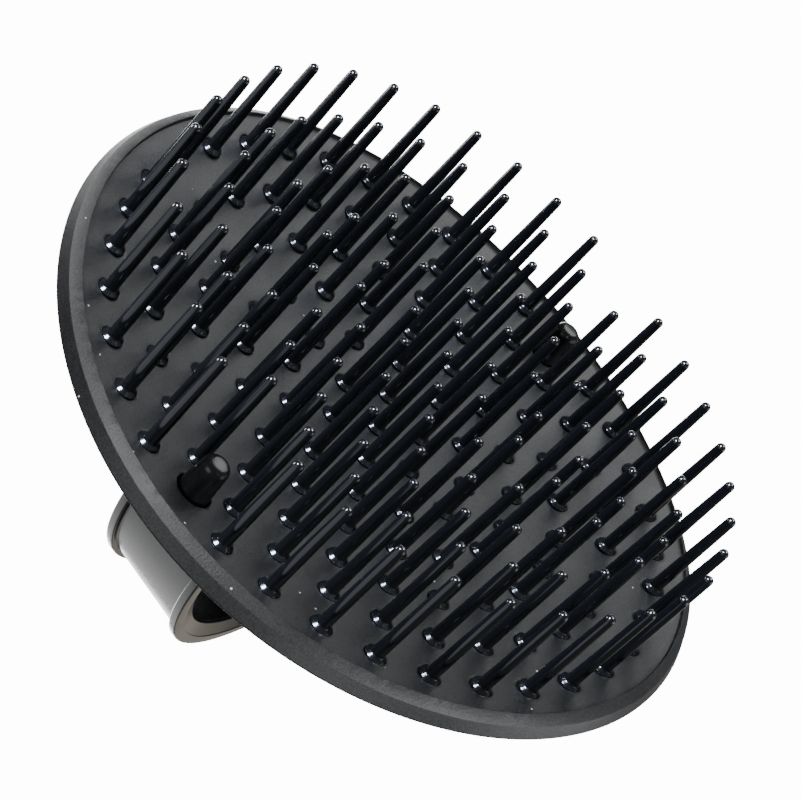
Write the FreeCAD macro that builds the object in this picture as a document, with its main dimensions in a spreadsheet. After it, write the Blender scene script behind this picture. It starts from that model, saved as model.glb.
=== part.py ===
"""Scalp massager brush: a dished round plate, rings of bristle pins under it and an arched strap handle.

Millimetres, +Z up. The brush stands on its lowest pin tips at Z = 0, pins down and handle up, with the
origin under the centre of the plate. The handle arches along X; fingers pass under it along Y.
"""

import FreeCAD, Part
import math
import os
import re

import Sketcher
from FreeCAD import Vector

os.makedirs("parts", exist_ok=True)
doc = FreeCAD.newDocument("scalp_massager_brush")

# ---------------------------------------------------------------- driving dimensions

SIZES = {
    # plate: a disc cut from a shell that is curved more across the handle than along it
    "plate_radius": 45.75,
    "plate_thickness": 2.4,
    "curve_along": 275.0,
    "curve_across": 151.0,
    "shell_half_span": 52.0,
    "shell_half_angle": 13.0,
    # rim: a low lip round the floor, bevelled outwards in two facets
    "floor_radius": 43.7,
    "lip_height": 0.55,
    "wall_bevel_in": 1.2,
    "wall_bevel_down": 2.7,
    "land_bevel_in": 0.8,
    "land_bevel_down": 1.25,
    # pins
    "ring_pitch": 6.62,
    "pin_length": 15.2,
    "pin_root_radius": 0.86,
    "pin_tip_radius": 0.66,
    "collar_radius": 1.4,
    "collar_edge": 0.22,
    "collar_height": 0.6,
    "collar_sink": 0.35,
    "shank_radius": 0.9,
    "shank_depth": 1.5,
    "socket_depth": 1.6,
    # handle
    "arch_radius": 35.2,
    "arch_centre_height": 19.3,
    "arch_half_angle": 89.0,
    "strap_width": 14.1,
    "rib_width": 1.25,
    "rib_depth": 3.2,
    "rib_proud": 0.75,
    "rib_bevel_in": 0.8,
    "rib_bevel_down": 1.65,
    "web_thickness": 1.5,
    "foot_offset": 35.6,
    "foot_length": 8.0,
    "foot_height": 2.4,
    "peg_offset": 37.2,
    "peg_root_radius": 2.3,
    "peg_tip_radius": 1.7,
    "peg_hole_radius": 2.3,
    "peg_reach": 5.2,
    "peg_round": 1.0,
}

RINGS = 6
SECTORS = 6

sheet = doc.addObject("Spreadsheet::Sheet", "Sizes")
for row, (alias, number) in enumerate(SIZES.items(), start=1):
    sheet.set("A%d" % row, alias)
    sheet.set("B%d" % row, str(number))
    sheet.setAlias("B%d" % row, alias)
doc.recompute()


def size(alias):
    """The number held in a cell of the sheet."""
    return float(sheet.get(alias))


def cell(text):
    """An expression on the sheet: every alias in the text gets the sheet's name in front."""
    return re.sub(r"\b(%s)\b" % "|".join(SIZES), r"Sizes.\1", text)


# The height of the floor at the plate's centre puts the outermost pin tips across the handle at Z = 0.
CREST = "pin_length + curve_across - sqrt(curve_across ^ 2 - (%d * ring_pitch) ^ 2)" % RINGS


def floor_height(x, y):
    """Height of the plate's floor, the face that the pins stand on, at a point of the plan."""
    along, across = size("curve_along"), size("curve_across")
    crest = size("pin_length") + across - math.sqrt(across**2 - (RINGS * size("ring_pitch")) ** 2)
    swing = along - across + math.sqrt(across**2 - y**2)
    return crest - along + math.sqrt(swing**2 - x**2)


# ---------------------------------------------------------------- helpers


def origin_plane(body, role):
    """One of a body's own origin planes, by its role."""
    return next(item for item in body.Origin.OriginFeatures if item.Role == role)


def sketch_in(body, name, role):
    """A new sketch on one of the body's origin planes."""
    sketch = body.newObject("Sketcher::SketchObject", name)
    sketch.AttachmentSupport = [(origin_plane(body, role), "")]
    sketch.MapMode = "FlatFace"
    return sketch


def bind(thing, prop, text):
    """Bind a property to an expression on the sheet."""
    thing.setExpression(prop, cell(text))


def named_distance(sketch, kind, places, number, name, text):
    """A named dimension of a sketch, bound to the sheet."""
    index = sketch.addConstraint(Sketcher.Constraint(kind, *places, number))
    sketch.renameConstraint(index, name)
    bind(sketch, "Constraints." + name, text)


def boolean(kind, name, base, tool):
    """A Part boolean of two objects."""
    result = doc.addObject("Part::" + kind, name)
    result.Base = base
    result.Tool = tool
    return result


ORIGIN_POINT = (-1, 1)
VERTICAL_AXIS = -2
START, END, CENTRE = 1, 2, 3


# ---------------------------------------------------------------- plate


def dished_shell(name, outer_offset, inner_offset):
    """A doubly curved shell: a section across the handle, swung about an axis under the plate.

    Its upper and lower faces are parallel to the floor, at these heights above it.
    """
    body = doc.addObject("PartDesign::Body", name)
    bind(body, "Placement.Base.z", CREST + " - curve_along")
    sketch = sketch_in(body, name + "_section", "YZ_Plane")
    across, half = size("curve_across"), size("shell_half_span")
    centre = Vector(0, size("curve_along") - across, 0)
    offsets = (("outer", outer_offset), ("inner", inner_offset))
    for label, offset in offsets:
        radius = across + sum(sign * size(alias) for sign, alias in offset)
        turn = math.asin(half / radius)
        circle = Part.Circle(centre, Vector(0, 0, 1), radius)
        sketch.addGeometry(Part.ArcOfCircle(circle, math.pi / 2 - turn, math.pi / 2 + turn))
        index = 0 if label == "outer" else 1
        text = "curve_across" + "".join((" + " if s > 0 else " - ") + a for s, a in offset)
        named_distance(sketch, "Radius", (index,), radius, label + "_radius", text)
    for point, side in ((START, 1), (END, -1)):
        outer_end = sketch.getPoint(0, point)
        inner_end = sketch.getPoint(1, point)
        index = sketch.addGeometry(Part.LineSegment(outer_end, inner_end))
        sketch.addConstraint(Sketcher.Constraint("Coincident", index, START, 0, point))
        sketch.addConstraint(Sketcher.Constraint("Coincident", index, END, 1, point))
        sketch.addConstraint(Sketcher.Constraint("Vertical", index))
        places = (*ORIGIN_POINT, index, START) if side > 0 else (index, START, *ORIGIN_POINT)
        named_distance(sketch, "DistanceX", places, half, "span_%d" % index, "shell_half_span")
    sketch.addConstraint(Sketcher.Constraint("Coincident", 0, CENTRE, 1, CENTRE))
    sketch.addConstraint(Sketcher.Constraint("PointOnObject", 0, CENTRE, VERTICAL_AXIS))
    places = (*ORIGIN_POINT, 0, CENTRE)
    named_distance(sketch, "DistanceY", places, centre.y, "rise", "curve_along - curve_across")
    swing = body.newObject("PartDesign::Revolution", name + "_swing")
    swing.Profile = sketch
    swing.ReferenceAxis = (sketch, ["H_Axis"])
    swing.Midplane = True
    bind(swing, "Angle", "2 * shell_half_angle")
    return body


def upright_cylinder(name, radius_text):
    """A cylinder about Z that is taller than the plate."""
    cylinder = doc.addObject("Part::Cylinder", name)
    bind(cylinder, "Radius", radius_text)
    bind(cylinder, "Height", "4 * pin_length")
    return cylinder


def pin_places(ring):
    """Plan positions of one ring's pins as (sector, x, y).

    Ring n has 6 n places. Alternate rings are turned by half a step, so that the outermost ring has a
    place at each peg of the handle, which stays free.
    """
    count = 6 * ring
    half_step = 0 if ring % 2 == 0 else 0.5
    places = []
    for index in range(count):
        angle = 2 * math.pi * (index + half_step) / count
        x = ring * size("ring_pitch") * math.cos(angle)
        y = ring * size("ring_pitch") * math.sin(angle)
        if ring == RINGS and abs(y) < size("peg_root_radius"):
            continue
        places.append((index * SECTORS // count + 1, x, y))
    return places


def pin_groups():
    """The pins in groups: the one in the centre, then each ring in six sectors."""
    groups = {"centre_pin": [(0.0, 0.0)]}
    for ring in range(1, RINGS + 1):
        for sector, x, y in pin_places(ring):
            name = "ring_%d_pins_sector_%d" % (ring, sector)
            groups.setdefault(name, []).append((x, y))
    return groups


def socket_tools():
    """The stepped blind sockets of all pins: a bore for the shank and a seat for the collar."""
    up = Vector(0, 0, 1)
    below = size("collar_height") + size("lip_height")
    tools = []
    for places in pin_groups().values():
        for x, y in places:
            z = floor_height(x, y)
            seat_height = below + size("collar_sink")
            bore_height = below + size("socket_depth")
            start = Vector(x, y, z - below)
            seat = Part.makeCylinder(size("collar_radius"), seat_height, start, up)
            bore = Part.makeCylinder(size("shank_radius"), bore_height, start, up)
            tools.append(seat.fuse(bore))
    return Part.makeCompound(tools)


def edge_round(shape, radius):
    """The number of the lowest edge that runs round the plate at about this radius."""
    found = []
    for number, edge in enumerate(shape.Edges, start=1):
        points = edge.discretize(9)
        if all(abs(math.hypot(point.x, point.y) - radius) < 0.1 for point in points):
            found.append((sum(point.z for point in points), number))
    return min(found)[1]


def bevel(name, base, edge_radius, across_face, down_face):
    """A bevel along the edge of the rim at this radius, with a width on each of its two faces."""
    cut = doc.addObject("Part::Chamfer", name)
    cut.Base = base
    cut.Edges = [(edge_round(base.Shape, edge_radius), across_face, down_face)]
    doc.recompute()
    return cut


def base_plate():
    """The plate: floor, lip, bevelled rim, pin sockets and two peg holes."""
    floor_shell = dished_shell("floor_shell", [(1, "plate_thickness")], [])
    lip_shell = dished_shell("lip_shell", [(1, "plate_thickness")], [(-1, "lip_height")])
    blank = boolean("Common", "plate_blank", floor_shell, upright_cylinder("outline", "plate_radius"))
    ring = boolean("Cut", "lip_ring", upright_cylinder("lip_outside", "plate_radius"),
                   upright_cylinder("lip_inside", "floor_radius"))
    joined = doc.addObject("Part::MultiFuse", "plate_with_lip")
    joined.Shapes = [blank, boolean("Common", "lip", lip_shell, ring)]
    joined.Refine = True
    doc.recompute()

    edge_radius = size("plate_radius")
    wall = bevel("wall_bevel", joined, edge_radius, size("wall_bevel_in"), size("wall_bevel_down"))
    edge_radius -= size("wall_bevel_in")
    land = bevel("land_bevel", wall, edge_radius, size("land_bevel_in"), size("land_bevel_down"))

    sockets = doc.addObject("Part::Feature", "pin_sockets")
    sockets.Shape = socket_tools()
    holes = doc.addObject("Part::MultiFuse", "peg_holes")
    holes.Shapes = [peg_hole(side) for side in (-1, 1)]
    plate = boolean("Cut", "base_plate", boolean("Cut", "drilled_plate", land, holes), sockets)
    doc.recompute()
    return plate


# ---------------------------------------------------------------- pins


def pin_master():
    """One bristle pin, its floor level at Z = 0 and its tip pointing down, turned about Z."""
    body = doc.addObject("PartDesign::Body", "pin_master")
    sketch = sketch_in(body, "pin_profile", "XZ_Plane")
    length, tip = size("pin_length"), size("pin_tip_radius")
    collar, sink = size("collar_radius"), size("collar_sink")
    edge, height = size("collar_edge"), size("collar_height")
    corners = [
        (0, size("shank_depth")),
        (size("shank_radius"), size("shank_depth")),
        (size("shank_radius"), sink),
        (collar, sink),
        (collar, -edge),
        (size("pin_root_radius"), -height),
        (tip, tip - length),
    ]
    points = [Vector(x, y, 0) for x, y in corners]
    lines = len(points) - 1
    for first, second in zip(points, points[1:]):
        sketch.addGeometry(Part.LineSegment(first, second))
    round_end = Part.Circle(Vector(0, tip - length, 0), Vector(0, 0, 1), tip)
    arc = sketch.addGeometry(Part.ArcOfCircle(round_end, -math.pi / 2, 0))
    close = sketch.addGeometry(Part.LineSegment(Vector(0, -length, 0), points[0]))
    for index in range(lines - 1):
        sketch.addConstraint(Sketcher.Constraint("Coincident", index, END, index + 1, START))
    for index in range(4):
        kind = "Horizontal" if index % 2 == 0 else "Vertical"
        sketch.addConstraint(Sketcher.Constraint(kind, index))
    taper = lines - 1
    sketch.addConstraint(Sketcher.Constraint("Coincident", taper, END, arc, END))
    sketch.addConstraint(Sketcher.Constraint("Coincident", arc, START, close, START))
    sketch.addConstraint(Sketcher.Constraint("Coincident", close, END, 0, START))
    sketch.addConstraint(Sketcher.Constraint("PointOnObject", close, START, VERTICAL_AXIS))
    sketch.addConstraint(Sketcher.Constraint("PointOnObject", close, END, VERTICAL_AXIS))
    sketch.addConstraint(Sketcher.Constraint("PointOnObject", arc, CENTRE, VERTICAL_AXIS))
    sketch.addConstraint(Sketcher.Constraint("Horizontal", arc, CENTRE, arc, END))
    named_distance(sketch, "Radius", (arc,), tip, "tip_radius", "pin_tip_radius")
    across = (
        (0, END, size("shank_radius"), "shank_radius"),
        (2, END, collar, "collar_radius"),
        (4, END, size("pin_root_radius"), "pin_root_radius"),
    )
    for index, point, number, alias in across:
        named_distance(sketch, "DistanceX", (*ORIGIN_POINT, index, point), number, alias, alias)
    above = ((0, END, size("shank_depth"), "shank_depth"), (2, END, sink, "collar_sink"))
    for index, point, number, alias in above:
        named_distance(sketch, "DistanceY", (*ORIGIN_POINT, index, point), number, alias, alias)
    below = (
        (3, END, edge, "collar_edge"),
        (4, END, height, "collar_height"),
        (close, START, length, "pin_length"),
    )
    for index, point, number, alias in below:
        named_distance(sketch, "DistanceY", (index, point, *ORIGIN_POINT), number, alias, alias)
    turned = body.newObject("PartDesign::Revolution", "pin_turned")
    turned.Profile = sketch
    turned.ReferenceAxis = (sketch, ["V_Axis"])
    turned.Angle = 360
    doc.recompute()
    return body


def bristle_pins():
    """Every group of pins, as copies of the master set upright in their sockets."""
    master = pin_master().Shape
    groups = []
    for name, places in pin_groups().items():
        copies = []
        for x, y in places:
            pin = master.copy()
            pin.translate(Vector(x, y, floor_height(x, y)))
            copies.append(pin)
        group = doc.addObject("Part::Feature", name)
        group.Shape = Part.makeCompound(copies)
        groups.append(group)
    return groups


# ---------------------------------------------------------------- handle


def on_peg_axis(kind, name, side):
    """A round primitive on the axis of one of the handle's pegs, from its free end up into the foot."""
    thing = doc.addObject("Part::" + kind, name)
    bind(thing, "Placement.Base.x", "%d * peg_offset" % side)
    sag = " - curve_along + sqrt(curve_along ^ 2 - peg_offset ^ 2)"
    bind(thing, "Placement.Base.z", CREST + sag + " - peg_reach")
    bind(thing, "Height", "peg_reach + plate_thickness + foot_height / 2")
    return thing


def peg_hole(side):
    """A straight hole through the plate for one of the pegs."""
    hole = on_peg_axis("Cylinder", "peg_hole_%d" % (side + 2), side)
    bind(hole, "Radius", "peg_hole_radius")
    return hole


def peg(side):
    """One of the handle's pegs, which narrows a little towards its free end."""
    cone = on_peg_axis("Cone", "peg_%d" % (side + 2), side)
    bind(cone, "Radius1", "peg_tip_radius")
    bind(cone, "Radius2", "peg_root_radius")
    return cone


def amount(terms):
    """The sum of some of the sheet's sizes, each times a factor."""
    return sum(factor * size(alias) for factor, alias in terms)


def words(terms):
    """The same sum as an expression."""
    return " + ".join("%s * %s" % term for term in terms)


HALF_WIDTH = [(0.5, "strap_width")]
RIB_INSIDE = HALF_WIDTH + [(-1, "rib_width")]
BEVEL_INSIDE = HALF_WIDTH + [(-1, "rib_bevel_in")]
TOP = [(1, "arch_radius")]
RIB_FOOT = TOP + [(-1, "rib_depth")]
BEVEL_START = RIB_FOOT + [(1, "rib_bevel_down")]
WEB_TOP = TOP + [(-1, "rib_proud")]
WEB_FOOT = WEB_TOP + [(-1, "web_thickness")]

# Half of the strap's section, anticlockwise: distance from its middle, distance from the arch's centre.
HALF_SECTION = (
    (RIB_INSIDE, WEB_FOOT),
    (RIB_INSIDE, RIB_FOOT),
    (BEVEL_INSIDE, RIB_FOOT),
    (HALF_WIDTH, BEVEL_START),
    (HALF_WIDTH, TOP),
    (RIB_INSIDE, TOP),
    (RIB_INSIDE, WEB_TOP),
)


def strap():
    """The arched strap: a channel section with a rib along each edge, swung about the arch's centre."""
    body = doc.addObject("PartDesign::Body", "strap")
    bind(body, "Placement.Base.z", "arch_centre_height")
    sketch = sketch_in(body, "strap_section", "YZ_Plane")
    corners = [(1, across, up) for across, up in HALF_SECTION]
    corners += [(-1, across, up) for across, up in reversed(HALF_SECTION)]
    points = [Vector(side * amount(across), amount(up), 0) for side, across, up in corners]
    count = len(points)
    for index, point in enumerate(points):
        sketch.addGeometry(Part.LineSegment(point, points[(index + 1) % count]))
    for index, (side, across, up) in enumerate(corners):
        after = (index + 1) % count
        sketch.addConstraint(Sketcher.Constraint("Coincident", index, END, after, START))
        here = (index, START)
        places = (*ORIGIN_POINT, *here) if side > 0 else (*here, *ORIGIN_POINT)
        named_distance(sketch, "DistanceX", places, amount(across), "across_%d" % index, words(across))
        places = (*ORIGIN_POINT, *here)
        named_distance(sketch, "DistanceY", places, amount(up), "up_%d" % index, words(up))
    swing = body.newObject("PartDesign::Revolution", "strap_swing")
    swing.Profile = sketch
    swing.ReferenceAxis = (sketch, ["H_Axis"])
    swing.Midplane = True
    bind(swing, "Angle", "2 * arch_half_angle")
    return body


def foot_block(name, side):
    """The solid block at one end of the strap, which rests on the back of the plate."""
    block = doc.addObject("Part::Box", name)
    bind(block, "Length", "foot_length")
    bind(block, "Width", "strap_width")
    bind(block, "Height", "2 * foot_height")
    bind(block, "Placement.Base.x", "%d * foot_offset - foot_length / 2" % side)
    bind(block, "Placement.Base.y", "-strap_width / 2")
    sag = " - curve_along + sqrt(curve_along ^ 2 - peg_offset ^ 2)"
    bind(block, "Placement.Base.z", CREST + sag + " + plate_thickness - foot_height")
    return block


def arch_handle():
    """The handle: strap, two foot blocks that follow the plate's back, and two pegs."""
    blocks = doc.addObject("Part::MultiFuse", "strap_and_feet")
    blocks.Shapes = [strap(), foot_block("foot_1", -1), foot_block("foot_2", 1)]
    under_back = dished_shell("under_back", [(1, "plate_thickness")], [(-1, "pin_length")])
    trimmed = boolean("Cut", "trimmed_strap", blocks, under_back)
    handle = doc.addObject("Part::MultiFuse", "handle_blank")
    handle.Shapes = [trimmed, peg(-1), peg(1)]
    handle.Refine = True
    doc.recompute()
    rounded = doc.addObject("Part::Fillet", "arch_handle")
    rounded.Base = handle
    ends = []
    for number, edge in enumerate(handle.Shape.Edges, start=1):
        box = edge.BoundBox
        if box.ZMax < size("pin_length") and box.ZLength < 0.01:
            ends.append((number, size("peg_round"), size("peg_round")))
    rounded.Edges = ends
    doc.recompute()
    return rounded


# ---------------------------------------------------------------- build, check and write

plate = base_plate()
pieces = [plate, *bristle_pins(), arch_handle()]
for piece in pieces:
    piece.Label = piece.Name
doc.recompute()

for thing in doc.Objects:
    if "Invalid" in thing.State or "Error" in thing.State:
        raise RuntimeError("%s failed: %s" % (thing.Name, thing.State))
for piece in pieces:
    shape = piece.Shape
    if shape.isNull() or not shape.isValid() or not shape.Solids:
        raise RuntimeError("%s has no valid solid" % piece.Name)
for piece in pieces:
    piece.Shape.exportStep("parts/%s.step" % piece.Name)
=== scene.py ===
"""Looks of a scalp massager brush: black moulded plate, polished bristle pins and an arched strap handle.

Lengths are worked out in millimetres in the part's own frame and written to the meshes in metres.
The brush stands on its lowest pin tips at Z = 0, pins down and handle up; the handle arches along X.
"""

import math

import bmesh
import bpy
from mathutils import Matrix, Vector
from mathutils.geometry import delaunay_2d_cdt


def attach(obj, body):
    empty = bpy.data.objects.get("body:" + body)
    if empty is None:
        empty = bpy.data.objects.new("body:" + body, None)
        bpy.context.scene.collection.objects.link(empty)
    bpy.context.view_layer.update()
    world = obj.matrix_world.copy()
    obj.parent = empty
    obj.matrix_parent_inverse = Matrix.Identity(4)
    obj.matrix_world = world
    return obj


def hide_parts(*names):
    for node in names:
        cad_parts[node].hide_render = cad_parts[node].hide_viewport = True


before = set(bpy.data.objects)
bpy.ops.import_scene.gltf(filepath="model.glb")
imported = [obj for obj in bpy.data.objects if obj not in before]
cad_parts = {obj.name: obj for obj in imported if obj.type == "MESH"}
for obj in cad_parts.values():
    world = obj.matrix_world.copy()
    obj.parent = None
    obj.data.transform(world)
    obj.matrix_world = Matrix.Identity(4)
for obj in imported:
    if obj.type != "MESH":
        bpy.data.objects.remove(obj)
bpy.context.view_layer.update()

MM = 0.001

# ---------------------------------------------------------------- sizes, in millimetres

CURVE_ALONG = 275.0
CURVE_ACROSS = 151.0
PLATE_THICKNESS = 2.4
FLOOR_RADIUS = 43.7
PLATE_RADIUS = 45.75
LIP_HEIGHT = 0.55
RINGS = 6
SECTORS = 6
RING_PITCH = 6.62
PIN_LENGTH = 15.2
PIN_TIP_RADIUS = 0.66
ARCH_RADIUS = 35.2
ARCH_CENTRE_HEIGHT = 19.3
STRAP_WIDTH = 14.1
RIB_WIDTH = 1.25
RIB_DEPTH = 3.2
RIB_PROUD = 0.75
RIB_BEVEL_IN = 0.8
RIB_BEVEL_DOWN = 1.65
WEB_THICKNESS = 1.5
FOOT_OFFSET = 35.6
FOOT_LENGTH = 8.0
FOOT_HEIGHT = 2.4
PEG_OFFSET = 37.2
PEG_REACH = 5.2

CREST = PIN_LENGTH + CURVE_ACROSS - math.sqrt(CURVE_ACROSS**2 - (RINGS * RING_PITCH) ** 2)

# The rim in section, from the floor outwards and round to the back: radius, height above the floor and
# the radius of the rounding at that corner.
RIM = (
    (43.0, 0.0, 0.0),
    (FLOOR_RADIUS, 0.0, 0.08),
    (FLOOR_RADIUS, -LIP_HEIGHT, 0.10),
    (43.78, -LIP_HEIGHT, 0.02),
    (45.06, 0.59, 0.30),
    (PLATE_RADIUS, 2.15, 0.12),
    (PLATE_RADIUS, PLATE_THICKNESS, 0.10),
    (44.4, PLATE_THICKNESS, 0.0),
)

# A pin in section, from the end of its shank to its tip: radius, height above the floor, rounding.
PIN = (
    (0.0, 1.5, 0.0),
    (0.9, 1.5, 0.15),
    (0.9, 0.35, 0.05),
    (1.4, 0.35, 0.05),
    (1.4, -0.22, 0.2),
    (0.86, -0.6, 0.35),
    (PIN_TIP_RADIUS, PIN_TIP_RADIUS - PIN_LENGTH, 0.0),
)

# A pin's socket in section, from its mouth to its end: radius, height above the floor.
SOCKET = (
    (1.54, 0.0),
    (1.48, 0.02),
    (1.44, 0.08),
    (1.43, 0.16),
    (1.43, 0.37),
    (0.93, 0.37),
    (0.93, 1.6),
)

# A handle's peg in section, from inside the foot to its free end: radius, height above the floor and
# rounding.
PEG = (
    (0.0, PLATE_THICKNESS + FOOT_HEIGHT / 2, 0.0),
    (2.3, PLATE_THICKNESS + FOOT_HEIGHT / 2, 0.0),
    (1.7, -PEG_REACH, 1.0),
    (0.0, -PEG_REACH, 0.0),
)

# A peg's hole in section, from its mouth in the floor: radius, height above the floor.
PEG_HOLE = ((2.42, 0.0), (2.34, 0.04), (2.30, 0.12))


def floor_height(x, y):
    """Height of the plate's floor, the face that the pins stand on, at a point of the plan."""
    swing = CURVE_ALONG - CURVE_ACROSS + math.sqrt(CURVE_ACROSS**2 - y**2)
    return CREST - CURVE_ALONG + math.sqrt(swing**2 - x**2)


# ---------------------------------------------------------------- mesh helpers


def rounded(corners, steps=5):
    """A section's points, with each corner that has a rounding drawn as an arc that touches both sides."""
    points = []
    last = len(corners) - 1
    for index, (x, y, radius) in enumerate(corners):
        here = Vector((x, y))
        if radius == 0 or index in (0, last):
            points.append(here)
            continue
        before = (Vector(corners[index - 1][:2]) - here).normalized()
        after = (Vector(corners[index + 1][:2]) - here).normalized()
        half = before.angle(after) / 2
        reach = radius / math.tan(half)
        centre = here + (before + after).normalized() * (radius / math.sin(half))
        start = here + before * reach - centre
        end = here + after * reach - centre
        sweep = start.angle_signed(end)
        for step in range(steps + 1):
            turn = Matrix.Rotation(-sweep * step / steps, 2)
            points.append(centre + turn @ start)
    return points


def turned(bm, points, segments, place):
    """A closed shell turned about an upright axis; place puts (x, y, height) in the part's frame."""
    rings = []
    for point in points:
        if point[0] < 1e-6:
            rings.append([bm.verts.new(place(0, 0, point[1]))])
            continue
        ring = []
        for step in range(segments):
            angle = 2 * math.pi * step / segments
            x, y = point[0] * math.cos(angle), point[0] * math.sin(angle)
            ring.append(bm.verts.new(place(x, y, point[1])))
        rings.append(ring)
    for one, two in zip(rings, rings[1:]):
        for step in range(segments):
            corners = [
                one[step % len(one)],
                one[(step + 1) % len(one)],
                two[(step + 1) % len(two)],
                two[step % len(two)],
            ]
            bm.faces.new(list(dict.fromkeys(corners)))
    return rings


def finished(bm, name, material, nodes, sharp=40):
    """The mesh as a smooth-shaded piece of the object that stands for these CAD nodes."""
    bmesh.ops.recalc_face_normals(bm, faces=bm.faces)
    bmesh.ops.scale(bm, vec=(MM, MM, MM), verts=bm.verts)
    mesh = bpy.data.meshes.new(name)
    bm.to_mesh(mesh)
    bm.free()
    mesh.shade_smooth()
    mesh.set_sharp_from_angle(angle=math.radians(sharp))
    mesh.materials.append(material)
    piece = bpy.data.objects.new(name, mesh)
    bpy.context.scene.collection.objects.link(piece)
    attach(piece, "root")
    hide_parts(*nodes)
    return piece


# ---------------------------------------------------------------- colours and materials


def paint(code):
    """An sRGB hex colour as linear red, green, blue and alpha."""
    channels = [int(code[start : start + 2], 16) / 255 for start in (1, 3, 5)]
    linear = [c / 12.92 if c <= 0.04045 else ((c + 0.055) / 1.055) ** 2.4 for c in channels]
    return (*linear, 1.0)


def add(tree, kind, inputs=None, **settings):
    """Adds one shader node with its settings, its plain values and its links."""
    made = tree.nodes.new("ShaderNode" + kind)
    for name, value in settings.items():
        setattr(made, name, value)
    for name, value in (inputs or {}).items():
        if isinstance(value, bpy.types.NodeSocket):
            tree.links.new(value, made.inputs[name])
        else:
            made.inputs[name].default_value = value
    return made


def per_metre(size_mm):
    """The scale of a pattern on coordinates in metres, from the width of its grains."""
    return 1 / (size_mm * MM)


PLASTIC_IOR = 1.5
# The uneven gloss that the flow of the melt leaves: soft clouds, and the noise's values at their ends.
CLOUD_MM = 7.0
CLOUD_RANGE = (0.3, 0.7)
# The noise's values where a fleck of the grain begins to show and where it has its full colour.
FLECK_RANGE = (0.35, 0.65)
# Pale dust: the distance between places for a speck, its radius as a share of that, and its colour.
DUST_CELL_MM = 2.4
DUST_SIZE = 0.055
DUST = "#c2c6ca"


def moulded_plastic(name, tones, gloss, grain_mm, grain_height_mm, dust=0.0, drawn_out=1.0):
    """Black injection-moulded plastic: two blacks in soft clouds, a third in fine flecks, a grain and dust.

    gloss is the roughness of the smoothest and the dullest parts, dust the share of cells with a pale speck
    in them, and drawn_out how much longer the clouds are along Z than across it.
    """
    material = bpy.data.materials.new(name)
    material.use_nodes = True
    tree = material.node_tree
    tree.nodes.clear()
    where = add(tree, "TexCoord").outputs["Object"]
    squeeze = (1.0, 1.0, 1 / drawn_out)
    flow = add(tree, "VectorMath", {0: where, 1: squeeze}, operation="MULTIPLY").outputs[0]
    cloud_look = {"Vector": flow, "Scale": per_metre(CLOUD_MM), "Detail": 3.0}
    cloud = add(tree, "TexNoise", cloud_look).outputs[0]
    grain_look = {"Vector": where, "Scale": per_metre(grain_mm), "Detail": 2.0}
    grain = add(tree, "TexNoise", grain_look).outputs[0]

    cells = add(tree, "TexVoronoi", {"Vector": where, "Scale": per_metre(DUST_CELL_MM)})
    chosen = add(tree, "SeparateColor", {"Color": cells.outputs["Color"]}).outputs["Red"]
    distance = cells.outputs["Distance"]
    inside = add(tree, "Math", {0: distance, 1: DUST_SIZE}, operation="LESS_THAN").outputs[0]
    dusty = add(tree, "Math", {0: chosen, 1: dust}, operation="LESS_THAN").outputs[0]
    speck = add(tree, "Math", {0: inside, 1: dusty}, operation="MULTIPLY").outputs[0]

    fleck = ranged(tree, grain, FLECK_RANGE, (0.0, 1.0))
    patch = mixed(tree, cloud, paint(tones[0]), paint(tones[1]))
    tone = mixed(tree, fleck, patch, paint(tones[2]))
    colour = mixed(tree, speck, tone, paint(DUST))
    shine = ranged(tree, cloud, CLOUD_RANGE, gloss)
    relief = add(tree, "Bump", {"Height": grain, "Distance": grain_height_mm * MM, "Strength": 1.0})
    body = add(tree, "BsdfPrincipled", {
        "Base Color": colour,
        "Roughness": shine,
        "IOR": PLASTIC_IOR,
        "Normal": relief.outputs[0],
    })
    add(tree, "OutputMaterial", {"Surface": body.outputs[0]})
    return material


def mixed(tree, share, one, two):
    """A colour between two others."""
    return add(tree, "Mix", {0: share, 6: one, 7: two}, data_type="RGBA").outputs[2]


def ranged(tree, value, before, after):
    """A value moved from one range to another, and held at its ends."""
    limits = {"From Min": before[0], "From Max": before[1], "To Min": after[0], "To Max": after[1]}
    return add(tree, "MapRange", {"Value": value, **limits}).outputs[0]


# ABS with the mould's fine spark-eroded grain: a soft grey sheen in place of sharp reflections. Grains of
# about 0.1 mm are too fine to show, so they are drawn at 0.24 mm.
satin_abs = moulded_plastic(
    "satin_black_abs", ("#08090a", "#0e0f11", "#222427"), gloss=(0.36, 0.46),
    grain_mm=0.24, grain_height_mm=0.03, dust=0.4)
# Nylon from a polished mould: near-black with narrow bright lines, and a gloss that changes slowly along
# each pin, the way the melt flowed.
polished_nylon = moulded_plastic(
    "polished_black_nylon", ("#050607", "#090b0d", "#08090b"), gloss=(0.12, 0.17),
    grain_mm=0.5, grain_height_mm=0.004, drawn_out=8.0)
# The handle's ABS from a smoother mould: a lighter black with clear but soft-edged reflections.
smooth_abs = moulded_plastic(
    "smooth_black_abs", ("#121315", "#191b1e", "#1d1f22"), gloss=(0.20, 0.28),
    grain_mm=0.40, grain_height_mm=0.012, dust=0.15)


# ---------------------------------------------------------------- pins

PIN_SEGMENTS = 32
TIP_STEPS = 8


def pin_section():
    """A pin's section with its rounded corners and its ball tip."""
    points = rounded(PIN)[:-1]
    for step in range(TIP_STEPS + 1):
        turn = math.pi / 2 * step / TIP_STEPS
        reach, drop = PIN_TIP_RADIUS * math.cos(turn), PIN_TIP_RADIUS * math.sin(turn)
        points.append(Vector((reach, PIN[-1][1] - drop)))
    return points


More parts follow.
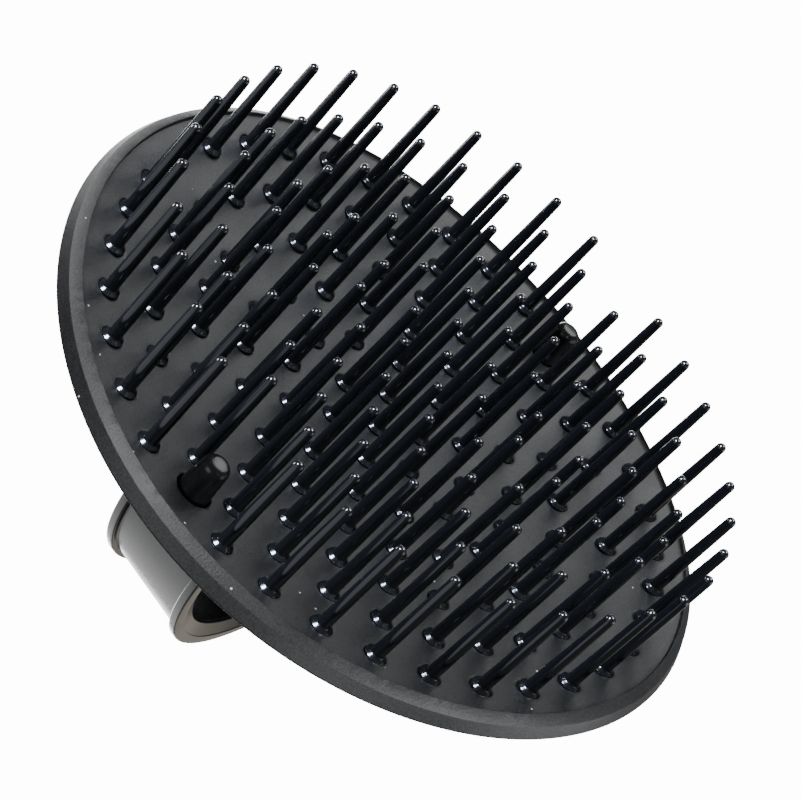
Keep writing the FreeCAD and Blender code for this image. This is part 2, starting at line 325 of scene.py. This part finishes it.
def pin_places(ring):
    """The plan places of one ring's pins as (sector, x, y): 6 n places, less the two under the pegs."""
    count = 6 * ring
    half_step = 0 if ring % 2 == 0 else 0.5
    places = []
    for index in range(count):
        angle = 2 * math.pi * (index + half_step) / count
        x = ring * RING_PITCH * math.cos(angle)
        y = ring * RING_PITCH * math.sin(angle)
        if ring < RINGS or abs(y) > RING_PITCH / 2:
            places.append((index * SECTORS // count + 1, x, y))
    return places


pin_groups = {"centre_pin": [(0.0, 0.0)]}
for ring in range(1, RINGS + 1):
    for sector, x, y in pin_places(ring):
        pin_groups.setdefault(f"ring_{ring}_pins_sector_{sector}", []).append((x, y))

section = pin_section()
# Some lights reach only the pins, and some only the plate.
all_pins = bpy.data.collections.new("all_pins")
plate_alone = bpy.data.collections.new("plate_alone")
for node, places in pin_groups.items():
    bm = bmesh.new()
    for x, y in places:
        base = floor_height(x, y)
        turned(bm, section, PIN_SEGMENTS, lambda u, v, h: (x + u, y + v, base + h))
    pins = finished(bm, node + "_polished", polished_nylon, [node])
    all_pins.objects.link(pins)


# ---------------------------------------------------------------- plate

RIM_SEGMENTS = 360
# Spacing of the corners across a face of the plate, the ring of corners round each hole, and how near to
# a hole or to the edge the others come.
GRID_STEP = 2.2
HOLE_COLLAR = 0.45
HOLE_MARGIN = 0.9
EDGE_MARGIN = 0.8
HOLE_INSIDE = 0.99
SOCKET_SEGMENTS = 32
PEG_SEGMENTS = 64
WELD = 0.004


def circle(x, y, radius, segments):
    """Points of a circle in plan."""
    turns = [2 * math.pi * step / segments for step in range(segments)]
    return [(x + radius * math.cos(turn), y + radius * math.sin(turn)) for turn in turns]


def dished_sheet(bm, outer_radius, holes, height):
    """One face of the plate: a disc with round holes, at this height above the floor all over.

    holes are (x, y, radius, segments).
    """
    points, edges = [], []
    for loop in [circle(0, 0, outer_radius, RIM_SEGMENTS)] + [circle(*hole) for hole in holes]:
        start = len(points)
        points += loop
        edges += [(start + step, start + (step + 1) % len(loop)) for step in range(len(loop))]
    for x, y, radius, segments in holes:
        points += circle(x, y, radius + HOLE_COLLAR, segments // 2)
    steps = int(outer_radius / GRID_STEP) + 1
    for row in range(-steps, steps + 1):
        for column in range(-steps, steps + 1):
            x = (column + 0.5 * (row % 2)) * GRID_STEP
            y = row * GRID_STEP * math.sqrt(0.75)
            clear = all(math.hypot(x - hx, y - hy) > radius + HOLE_MARGIN for hx, hy, radius, _ in holes)
            if clear and math.hypot(x, y) < outer_radius - EDGE_MARGIN:
                points.append((x, y))
    found, _, triangles, *_ = delaunay_2d_cdt([Vector(point) for point in points], edges, [], 0, 1e-6)
    corners = [bm.verts.new((p.x, p.y, floor_height(p.x, p.y) + height)) for p in found]
    for triangle in triangles:
        x = sum(found[index].x for index in triangle) / 3
        y = sum(found[index].y for index in triangle) / 3
        solid = all(math.hypot(x - hx, y - hy) > radius * HOLE_INSIDE for hx, hy, radius, _ in holes)
        if solid and math.hypot(x, y) < outer_radius:
            bm.faces.new([corners[index] for index in triangle])
    for corner in corners:
        if not corner.link_faces:
            bm.verts.remove(corner)


def follow(x, y):
    """Places a section's points round a centre in plan, at heights above the floor at each point."""
    return lambda u, v, h: (x + u, y + v, floor_height(x + u, y + v) + h)


def base_plate():
    """The plate with its rim, pin sockets and peg holes, as one closed shell."""
    bm = bmesh.new()
    rim = rounded(RIM)
    turned(bm, rim, RIM_SEGMENTS, follow(0, 0))
    sockets = [(x, y) for places in pin_groups.values() for x, y in places]
    pegs = [(side * PEG_OFFSET, 0.0) for side in (-1, 1)]
    peg_mouth, peg_wall = PEG_HOLE[0][0], PEG_HOLE[-1][0]
    floor_holes = [(x, y, SOCKET[0][0], SOCKET_SEGMENTS) for x, y in sockets]
    floor_holes += [(x, y, peg_mouth, PEG_SEGMENTS) for x, y in pegs]
    dished_sheet(bm, RIM[0][0], floor_holes, 0.0)
    dished_sheet(bm, RIM[-1][0], [(x, y, peg_wall, PEG_SEGMENTS) for x, y in pegs], PLATE_THICKNESS)
    for x, y in sockets:
        turned(bm, list(SOCKET) + [(0.0, SOCKET[-1][1])], SOCKET_SEGMENTS, follow(x, y))
    for x, y in pegs:
        turned(bm, list(PEG_HOLE) + [(peg_wall, PLATE_THICKNESS)], PEG_SEGMENTS, follow(x, y))
    bmesh.ops.remove_doubles(bm, verts=bm.verts, dist=WELD)
    return finished(bm, "base_plate_satin", satin_abs, ["base_plate"])


plate = base_plate()
plate_alone.objects.link(plate)


# ---------------------------------------------------------------- handle

ARCH_STEPS = 160
# The strap's two ends stop inside the foot blocks.
ARCH_HALF_ANGLE = math.radians(86.3)
RIB_EDGE_ROUND = 0.28
CORNER_ROUND = 0.15
RIB_FOOT_ROUND = 0.1
BEVEL_ROUND = 0.05
BEVEL_STEP = 0.12
FOOT_CORNER_ROUND = 0.7
FOOT_TOP_ROUND = 0.5
FOOT_BOTTOM_ROUND = 0.12
FOOT_TOP_STEPS = 5
FOOT_CORNER_STEPS = 6


def strap_section():
    """The strap's section, a channel with a rib along each edge: across the strap, radius, rounding."""
    half, inner = STRAP_WIDTH / 2, STRAP_WIDTH / 2 - RIB_WIDTH
    foot = ARCH_RADIUS - RIB_DEPTH
    web_top = ARCH_RADIUS - RIB_PROUD
    web_foot = web_top - WEB_THICKNESS
    bevel = foot + RIB_BEVEL_DOWN
    right = [
        (0, web_foot, 0),
        (inner, web_foot, CORNER_ROUND),
        (inner, foot, RIB_FOOT_ROUND),
        (half - RIB_BEVEL_IN, foot, CORNER_ROUND),
        (half - BEVEL_STEP, bevel, BEVEL_ROUND),
        (half, bevel, BEVEL_ROUND),
        (half, ARCH_RADIUS, RIB_EDGE_ROUND),
        (inner, ARCH_RADIUS, RIB_EDGE_ROUND),
        (inner, web_top, CORNER_ROUND),
        (0, web_top, 0),
    ]
    left = [(-x, y, rounding) for x, y, rounding in reversed(right)][1:-1]
    loop = right + left
    padded = [loop[-1], *loop, loop[0]]
    return rounded(padded)[1:-1]


def skin(bm, rings):
    """Faces between each ring of corners and the next, and over the first and the last ring."""
    for one, two in zip(rings, rings[1:]):
        for index in range(len(one)):
            after = (index + 1) % len(one)
            bm.faces.new((one[index], one[after], two[after], two[index]))
    bm.faces.new(rings[0])
    bm.faces.new(rings[-1])


def strap(bm):
    """The strap: its section swung along the arch, with both ends closed inside the foot blocks."""
    section = strap_section()
    rings = []
    for step in range(ARCH_STEPS + 1):
        turn = ARCH_HALF_ANGLE * (2 * step / ARCH_STEPS - 1)
        rings.append([
            bm.verts.new((p.y * math.sin(turn), p.x, ARCH_CENTRE_HEIGHT + p.y * math.cos(turn)))
            for p in section
        ])
    skin(bm, rings)


def foot_block(bm, side):
    """The block at one end of the strap: a rounded rectangle in plan that stands on the plate's back."""
    centre = side * FOOT_OFFSET
    reach_x = FOOT_LENGTH / 2 - FOOT_CORNER_ROUND
    reach_y = STRAP_WIDTH / 2 - FOOT_CORNER_ROUND
    top = floor_height(centre, 0) + PLATE_THICKNESS + FOOT_HEIGHT
    # Each level is its inset, and either a height of its own or one above the plate's back.
    levels = [(FOOT_BOTTOM_ROUND, None, 0.0), (0.0, None, FOOT_BOTTOM_ROUND)]
    for step in range(FOOT_TOP_STEPS + 1):
        turn = math.pi / 2 * step / FOOT_TOP_STEPS
        inset, drop = FOOT_TOP_ROUND * (1 - math.cos(turn)), FOOT_TOP_ROUND * (1 - math.sin(turn))
        levels.append((inset, top - drop, 0.0))
    rings = []
    for inset, height, above in levels:
        corner = FOOT_CORNER_ROUND - inset
        ring = []
        for quarter in range(4):
            across = 1 if quarter in (0, 3) else -1
            along = 1 if quarter in (0, 1) else -1
            for step in range(FOOT_CORNER_STEPS + 1):
                turn = math.pi / 2 * (quarter + step / FOOT_CORNER_STEPS)
                x = centre + across * reach_x + corner * math.cos(turn)
                y = along * reach_y + corner * math.sin(turn)
                z = floor_height(x, y) + PLATE_THICKNESS + above if height is None else height
                ring.append(bm.verts.new((x, y, z)))
        rings.append(ring)
    skin(bm, rings)


def arch_handle():
    """The handle: strap, foot blocks and pegs."""
    bm = bmesh.new()
    strap(bm)
    for side in (-1, 1):
        foot_block(bm, side)
        x = side * PEG_OFFSET
        base = floor_height(x, 0)
        turned(bm, rounded(PEG), PEG_SEGMENTS, lambda u, v, h: (x + u, v, base + h))
    return finished(bm, "arch_handle_smooth", smooth_abs, ["arch_handle"], sharp=50)


arch_handle()


# ---------------------------------------------------------------- floor, light and camera

# In metres: the floor's half width, its drop under the pin tips and the height that the lights aim at.
FLOOR_HALF_WIDTH = 1.5
FLOOR_DROP = 0.0002
AIM_HEIGHT = 0.02
BACKGROUND_STRENGTH = 14.0
SURROUND_STRENGTH = 0.2


def pale_floor():
    """A plain pale floor under the pin tips. It is seen only from above, so the pins show from below."""
    material = bpy.data.materials.new("pale_matt_floor")
    material.use_nodes = True
    tree = material.node_tree
    tree.nodes.clear()
    matt = add(tree, "BsdfDiffuse", {"Color": paint("#e9e9e7")})
    clear = add(tree, "BsdfTransparent")
    below = add(tree, "NewGeometry").outputs["Backfacing"]
    shown = add(tree, "MixShader", {0: below, 1: matt.outputs[0], 2: clear.outputs[0]})
    add(tree, "OutputMaterial", {"Surface": shown.outputs[0]})
    mesh = bpy.data.meshes.new("floor")
    half = FLOOR_HALF_WIDTH
    corners = [(-half, -half, 0), (half, -half, 0), (half, half, 0), (-half, half, 0)]
    mesh.from_pydata(corners, [], [(0, 1, 2, 3)])
    mesh.materials.append(material)
    floor = bpy.data.objects.new("floor", mesh)
    floor.location.z = -FLOOR_DROP
    floor.visible_shadow = False
    floor.visible_diffuse = False
    floor.visible_glossy = False
    bpy.context.scene.collection.objects.link(floor)


def soft_box(name, place, width, height, glow, tint="#ffffff", lit=None):
    """A soft rectangular studio light at this place in metres, aimed at the plate.

    glow is how bright its face looks, with white paper in the studio's even light at about 1. lit is the
    collection of objects that it lights, as if flags kept it off the others, or None for everything.
    """
    light = bpy.data.lights.new(name, "AREA")
    light.shape = "RECTANGLE"
    light.size, light.size_y = width, height
    light.energy = glow * math.pi * width * height
    light.color = paint(tint)[:3]
    lamp = bpy.data.objects.new(name, light)
    lamp.location = place
    lamp.rotation_mode = "QUATERNION"
    aim = Vector((0, 0, AIM_HEIGHT)) - Vector(place)
    lamp.rotation_quaternion = aim.to_track_quat("-Z", "Y")
    lamp.visible_camera = False
    bpy.context.scene.collection.objects.link(lamp)
    if lit:
        lamp.light_linking.receiver_collection = lit


def studio_surround():
    """White behind the object, and a dimmer even surround for the light that reaches it."""
    world = bpy.data.worlds.new("studio")
    world.use_nodes = True
    tree = world.node_tree
    tree.nodes.clear()
    white = add(tree, "Background", {"Color": (1, 1, 1, 1), "Strength": BACKGROUND_STRENGTH})
    dim = add(tree, "Background", {"Color": paint("#eef2f6"), "Strength": SURROUND_STRENGTH})
    seen = add(tree, "LightPath").outputs["Is Camera Ray"]
    both = add(tree, "MixShader", {0: seen, 1: dim.outputs[0], 2: white.outputs[0]})
    add(tree, "OutputWorld", {"Surface": both.outputs[0]})
    bpy.context.scene.world = world


def aimed_camera(place, right, up, lens):
    """The scene's camera at a place in metres, from the directions of its picture's right and up."""
    camera = bpy.data.cameras.new("camera")
    camera.sensor_fit = "HORIZONTAL"
    camera.sensor_width = 36
    camera.lens = lens
    camera.clip_start = 0.01
    camera.clip_end = 10
    view = bpy.data.objects.new("camera", camera)
    axes = Matrix((right, up, right.cross(up))).transposed()
    view.matrix_world = Matrix.Translation(place) @ axes.to_4x4()
    bpy.context.scene.collection.objects.link(view)
    bpy.context.scene.camera = view


pale_floor()
studio_surround()

# Behind the brush: the white sweep that the handle mirrors at its edge, and a dim warm wall beside it.
soft_box("backdrop_glow", (0.62, -0.34, 0.44), 0.55, 0.9, 6.0)
soft_box("warm_backdrop", (0.52, 0.24, 0.50), 0.45, 0.5, 0.5, "#f2e4cc")
# Below, in front, at the sides and overhead: soft boxes for the greys of the plate's floor and rim and the
# handle's edges. Those that light the plate alone leave the pins dark.
soft_box("far_low_softbox", (0.50, -0.10, -0.55), 0.5, 0.45, 3.6)
soft_box("low_softbox", (-0.26, -0.20, -0.55), 0.30, 0.3, 10.5, lit=plate_alone)
soft_box("right_low_softbox", (-0.02, 0.42, -0.42), 0.5, 0.3, 6.0, lit=plate_alone)
soft_box("front_fill", (-0.75, -0.16, -0.17), 0.5, 0.5, 1.6)
soft_box("front_right_fill", (-0.50, 0.56, -0.10), 0.6, 0.4, 2.0, lit=plate_alone)
soft_box("left_softbox", (0.02, -0.60, -0.30), 0.45, 0.4, 4.2, lit=plate_alone)
soft_box("left_side_softbox", (0.30, -0.62, 0.02), 0.3, 0.4, 4.0, lit=plate_alone)
soft_box("right_strip", (0.20, 0.60, -0.05), 0.5, 0.4, 2.5)
soft_box("overhead_softbox", (0.0, -0.15, 0.70), 0.6, 0.6, 1.2)
# Small bright lamps for the dots on the pins' collars and tips, and a broad dim one for their sheen.
soft_box("pin_lamp", (-0.29, -0.27, -0.49), 0.18, 0.18, 260.0, "#dce8ff", lit=all_pins)
soft_box("right_glint", (0.22, 0.12, -0.48), 0.12, 0.2, 40.0, lit=all_pins)
soft_box("left_glint", (-0.12, -0.57, 0.10), 0.2, 0.3, 25.0, lit=all_pins)
soft_box("pin_sheen", (-0.60, -0.20, 0.42), 1.0, 0.6, 1.1, "#eef4ff", lit=all_pins)

aimed_camera(
    place=Vector((-0.23520, 0.05909, -0.15105)),
    right=Vector((0.56048, 0.58827, -0.58293)),
    up=Vector((0.21502, -0.78310, -0.58354)),
    lens=110.42,
)
